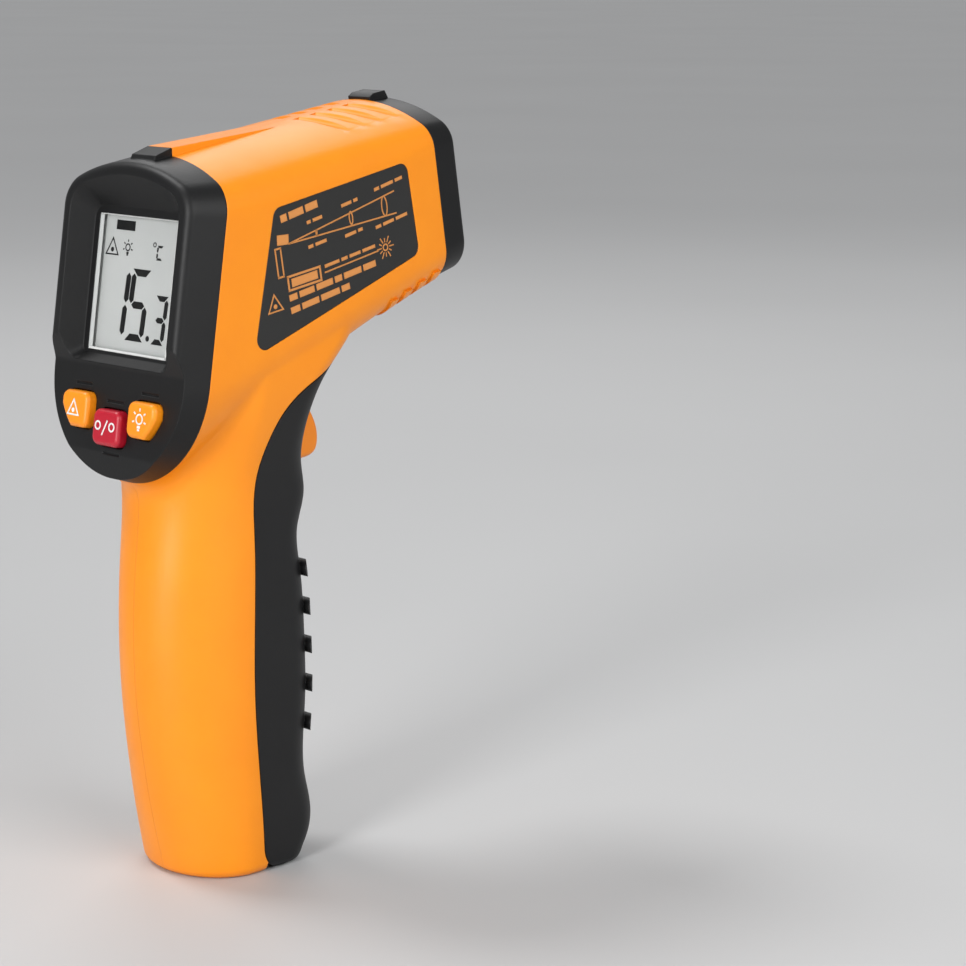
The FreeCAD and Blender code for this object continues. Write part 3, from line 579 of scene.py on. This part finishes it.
@dataclass
class Keys:
    """White symbols printed on the three push buttons."""

    proud: float = 0.015
    ink_thick: float = 0.03
    display: Display = field(default_factory=Display)

    def plane(self, button: str) -> Matrix:
        """The drawing plane on top of a button."""
        low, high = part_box(button)
        base = self.display.plane(0)
        inward = base.inverted()
        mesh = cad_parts[button].data
        local = [inward @ vertex.co for vertex in mesh.vertices]
        top = max(point.z for point in local)
        face = [point for point in local if point.z > top - 0.02 * MM]
        middle = [(min(p[i] for p in face) + max(p[i] for p in face)) / 2 for i in (0, 1)]
        spot = base @ Vector((middle[0], middle[1], top + self.proud * MM))
        return Matrix.Translation(spot - base.translation) @ base

    def build(self, ink: bpy.types.Material) -> None:
        """Print a beam sign, a unit sign and a lamp."""
        sheet = Sheet("beam_sign", self.plane("laser_button"))
        sheet.warning((0, -0.2), 2.3, 0.34)
        sheet.press("laser_button_body", ink, self.ink_thick)
        sheet = Sheet("unit_sign", self.plane("unit_button"))
        sheet.ring((-2.1, 0.3), 0.95, 0.36, 20)
        sheet.bar((-0.7, -1.5), (0.7, 1.5), 0.36)
        sheet.ring((2.1, 0.3), 0.95, 0.36, 20)
        sheet.press("unit_button_body", ink, self.ink_thick)
        sheet = Sheet("lamp_sign", self.plane("backlight_button"))
        sheet.lamp((0, 0.3), 2.1, 0.34)
        sheet.press("backlight_button_body", ink, self.ink_thick)


@dataclass
class Labels:
    """The printed side labels: a spreading beam, its spots, a spark and plain bars."""

    rise: float = 9.0
    line: float = 0.32
    ink_thick: float = 0.03
    clearance: float = 0.2

    def plane(self, node: str, side: int) -> Matrix:
        """The drawing plane outside a label, on the side given by its sign along Y."""
        low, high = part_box(node)
        middle = (low + high) / 2
        middle.y = low.y - self.clearance * MM if side < 0 else high.y + self.clearance * MM
        angle = math.radians(self.rise)
        up = Vector((-math.sin(angle), 0, math.cos(angle)))
        return face_matrix(middle, Vector((0, side, 0)), up)

    def beam(self, sheet: Sheet) -> None:
        """Draw the small instrument, its beam and the spots that it sees."""
        line = self.line
        sheet.bar((-15.8, 6.6), (-12.8, 6.2), 2.0)
        sheet.frame((-16.6, -0.6), (-15.2, 5.0), line * 1.2)
        sheet.bar((-13.0, 5.3), (16.9, 9.0), line)
        sheet.bar((-13.0, 5.3), (16.9, 4.5), line)
        for x, middle, half in ((-5.4, 5.8, 0.7), (4.2, 6.4, 1.45), (13.7, 6.6, 2.15)):
            sheet.ring((x, middle), half, line, 26, 0.42)

    def words(self, sheet: Sheet, start: tuple[float, float], end: tuple[float, float],
              width: float, count: int) -> None:
        """Draw one line of a caption as plain blocks of uneven length."""
        shares = [1.0 + 0.45 * math.sin(2.3 * step + start[0]) for step in range(count)]
        first, run = Vector(start), Vector(end) - Vector(start)
        gap = 0.55 / run.length
        unit, at = (1 - gap * (count - 1)) / sum(shares), 0.0
        for share in shares:
            sheet.bar(tuple(first + run * at), tuple(first + run * (at + unit * share)), width)
            at += unit * share + gap

    def bars(self, sheet: Sheet) -> None:
        """Draw plain bars where captions would stand."""
        for start, end, width, count in (
                ((-14.2, 10.4), (-4.2, 11.3), 1.5, 3), ((-7.6, 8.2), (-3.4, 8.5), 0.7, 2),
                ((2.0, 9.3), (6.6, 9.7), 0.7, 2), ((11.4, 10.4), (19.6, 11.2), 0.7, 3),
                ((-8.0, 3.4), (-3.0, 3.7), 0.7, 2), ((2.0, 3.2), (7.0, 3.6), 0.7, 2),
                ((10.6, 2.9), (19.8, 3.7), 0.7, 3), ((-4.4, -1.3), (9.8, -0.6), 0.7, 4),
                ((-4.6, -2.5), (10.6, -1.8), self.line, 1), ((-14.6, -5.2), (9.4, -4.0), 1.3, 6),
                ((-14.6, -7.7), (1.6, -6.7), 1.3, 4)):
            self.words(sheet, start, end, width, count)
        sheet.frame((-14.3, -3.7), (-5.7, -1.0), self.line * 1.5)
        sheet.bar((-13.5, -2.38), (-6.5, -2.32), 1.7)

    def spark(self, sheet: Sheet, at: tuple[float, float]) -> None:
        """Draw a small sun of rays round a ring."""
        sheet.ring(at, 0.8, self.line, 18)
        for step in range(12):
            angle = math.radians(30 * step)
            direction = Vector((math.cos(angle), math.sin(angle)))
            reach = 1.9 if step % 2 else 2.4
            sheet.bar(tuple(Vector(at) + direction * 1.05), tuple(Vector(at) + direction * reach), 0.28)

    def build(self, ink: bpy.types.Material) -> None:
        """Print the right label in full, and the left with plain bars and a box."""
        right = Sheet("label_print_right", self.plane("label_right", -1))
        self.beam(right)
        self.bars(right)
        self.spark(right, (12.6, -1.6))
        right.warning((-18.4, -5.7), 2.5, self.line)
        right.press("housing", ink, self.ink_thick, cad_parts["label_right"])
        left = Sheet("label_print_left", self.plane("label_left", 1))
        for step in range(4):
            left.bar((-16.0 + step, 8.6 - 3.6 * step), (14.0 - 2 * step, 8.6 - 3.6 * step), 1.0)
        left.frame((-17.0, -9.2), (-6.0, -6.0), self.line * 1.5)
        left.press("housing", ink, self.ink_thick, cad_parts["label_left"])


@dataclass
class Casing:
    """Finishes of the fixed pieces, and their smooth shading."""

    weld_mm: float = 0.002
    crease_deg: float = 32.0

    def finishes(self) -> list[tuple[object, list[str]]]:
        """Each finish with the nodes that take it."""
        low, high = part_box("battery_1")
        return [
            (ORANGE_ABS, ["left_housing", "right_housing"]),
            (BLACK_ABS, ["display_bezel", "front_cap"]),
            (SOFT_GRIP, ["battery_door"]),
            (TRIGGER_ABS, ["trigger"]),
            (KEY_ORANGE, ["laser_button", "backlight_button"]),
            (KEY_RED, ["unit_button"]),
            (WINDOW, ["lcd_window"]),
            (LCD_FILM, ["lcd_panel"]),
            (MILKY, ["backlight_panel"]),
            (CHIP_EPOXY, ["lcd_holder", "battery_tray", "lens_tube", "board_chips", "buzzer",
                          "button_switches", "trigger_switch"]),
            (STRIPED_RUBBER, ["elastomer_connector"]),
            (CircuitBoard(), ["main_board", "sensor_board", "trigger_board"]),
            (ZINC, ["housing_screws", "board_screws", "trigger_pin", "door_hinge_pin"]),
            (SPRING, ["trigger_spring", "contact_springs"]),
            (NICKEL, ["battery_contacts", "thermopile_sensor"]),
            (BRASS, ["laser_module"]),
            (DARK_ALLOY, ["lens_ring"]),
            (IR_GLASS, ["ir_lens"]),
            (LABEL_FILM, ["label_left", "label_right"]),
            (CellFilm(low.z, high.z), ["battery_1", "battery_2"]),
        ]

    def shade(self, node: bpy.types.Object) -> None:
        """Join a node's loose triangles for shading, and keep its sharp edges."""
        weld = node.modifiers.new("weld", "WELD")
        weld.merge_threshold = self.weld_mm * MM
        split = node.modifiers.new("creases", "EDGE_SPLIT")
        split.split_angle = math.radians(self.crease_deg)
        for face in node.data.polygons:
            face.use_smooth = True

    def build(self) -> None:
        """Dress and shade every fixed piece."""
        for finish, names in self.finishes():
            material = finish.build()
            for name in names:
                dress(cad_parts[name], material)
                self.shade(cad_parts[name])
                LOG.info("dressed %s in %s", name, material.name)


@dataclass
class Studio:
    """The floor, the soft lights and the camera."""

    stands_at: Vector = field(default_factory=lambda: Vector((-0.3316, -0.3955, 0.1842)))
    bearing_deg: float = 46.1
    tilt_deg: float = 11.6
    lens_mm: float = 96.9
    sensor_mm: float = 36.0
    floor_size: float = 40.0
    room_strength: float = 0.32
    sky_strength: float = 1.25
    sky_angle_deg: float = 18.0
    aim_at: Vector = field(default_factory=lambda: Vector((0.0, 0.0, 0.09)))

    def floor(self) -> None:
        """Lay a pale floor with a faint satin unevenness."""
        deselect()
        bpy.ops.mesh.primitive_plane_add(size=self.floor_size)
        floor = bpy.context.object
        floor.name = "studio_floor"
        material, tree = new_material("pale_matt_floor")
        place = add_node(tree, "TexCoord").outputs["Object"]
        cloud = add_node(tree, "TexNoise", {"Scale": 3.0, "Detail": 3.0}, {"Vector": place})
        tone = add_node(tree, "MixRGB", {"Color1": linear(Tone.FLOOR.value),
                                         "Color2": linear(Tone.FLOOR_DEEP.value)},
                        {"Fac": cloud.outputs["Fac"]})
        shader = add_node(tree, "BsdfPrincipled", {"Roughness": 0.7},
                          {"Base Color": tone.outputs["Color"]})
        add_node(tree, "OutputMaterial", links={"Surface": shader.outputs["BSDF"]})
        dress(floor, material)

    def light(self, name: str, at: tuple[float, float, float], size: float, power: float,
              tall: float | None = None) -> None:
        """Hang one soft light, square or as tall as given, aimed at the object's middle."""
        deselect()
        bpy.ops.object.light_add(type="AREA", location=at)
        lamp = bpy.context.object
        lamp.name = name
        lamp.data.shape = "RECTANGLE"
        lamp.data.size = size
        lamp.data.size_y = tall or size
        lamp.data.energy = power
        aim = self.aim_at - Vector(at)
        lamp.rotation_euler = aim.to_track_quat("-Z", "Y").to_euler()

    def sun(self, toward: tuple[float, float, float]) -> None:
        """Hang a broad soft light far away, which lights the floor evenly."""
        deselect()
        bpy.ops.object.light_add(type="SUN", location=toward)
        lamp = bpy.context.object
        lamp.name = "broad_sky_light"
        lamp.data.angle = math.radians(self.sky_angle_deg)
        lamp.data.energy = self.sky_strength
        lamp.rotation_euler = (-Vector(toward)).to_track_quat("-Z", "Y").to_euler()

    def camera(self) -> None:
        """Stand the camera behind the right side, looking slightly down."""
        deselect()
        bpy.ops.object.camera_add(location=self.stands_at)
        camera = bpy.context.object
        bearing, tilt = math.radians(self.bearing_deg), math.radians(self.tilt_deg)
        aim = Vector((math.sin(bearing) * math.cos(tilt), math.cos(bearing) * math.cos(tilt),
                      -math.sin(tilt)))
        camera.rotation_euler = aim.to_track_quat("-Z", "Y").to_euler()
        camera.data.lens = self.lens_mm
        camera.data.sensor_width = self.sensor_mm
        bpy.context.scene.camera = camera

    def build(self) -> None:
        """Set up the floor, world, lights and camera."""
        self.floor()
        world = bpy.data.worlds.new("soft_room")
        world.use_nodes = True
        world.node_tree.nodes["Background"].inputs["Color"].default_value = linear(Tone.ROOM.value)
        world.node_tree.nodes["Background"].inputs["Strength"].default_value = self.room_strength
        bpy.context.scene.world = world
        bpy.context.scene.view_settings.view_transform = "Standard"
        self.sun((-0.3, 1.0, 1.7))
        self.light("key_left", (-0.78, -0.20, 0.34), 0.24, 5.0, 0.6)
        self.light("fill_right", (-0.05, -0.95, 0.60), 0.8, 6.5)
        self.light("back_rim", (0.55, 0.55, 0.75), 0.5, 2.0)
        self.camera()


def main() -> None:
    """Build the finishes, the printed details and the studio, in order."""
    Casing().build()
    # the second milky material paints the highlight on the window's bevel edges
    ink, edge = LCD_INK.build(), MILKY.build()
    Display().build(ink, edge, LCD_EDGE.build())
    Keys().build(WHITE_INK.build())
    Labels().build(LABEL_INK.build())
    Studio().build()


if __name__ == "__main__":
    logging.basicConfig(level=logging.INFO)
    main()
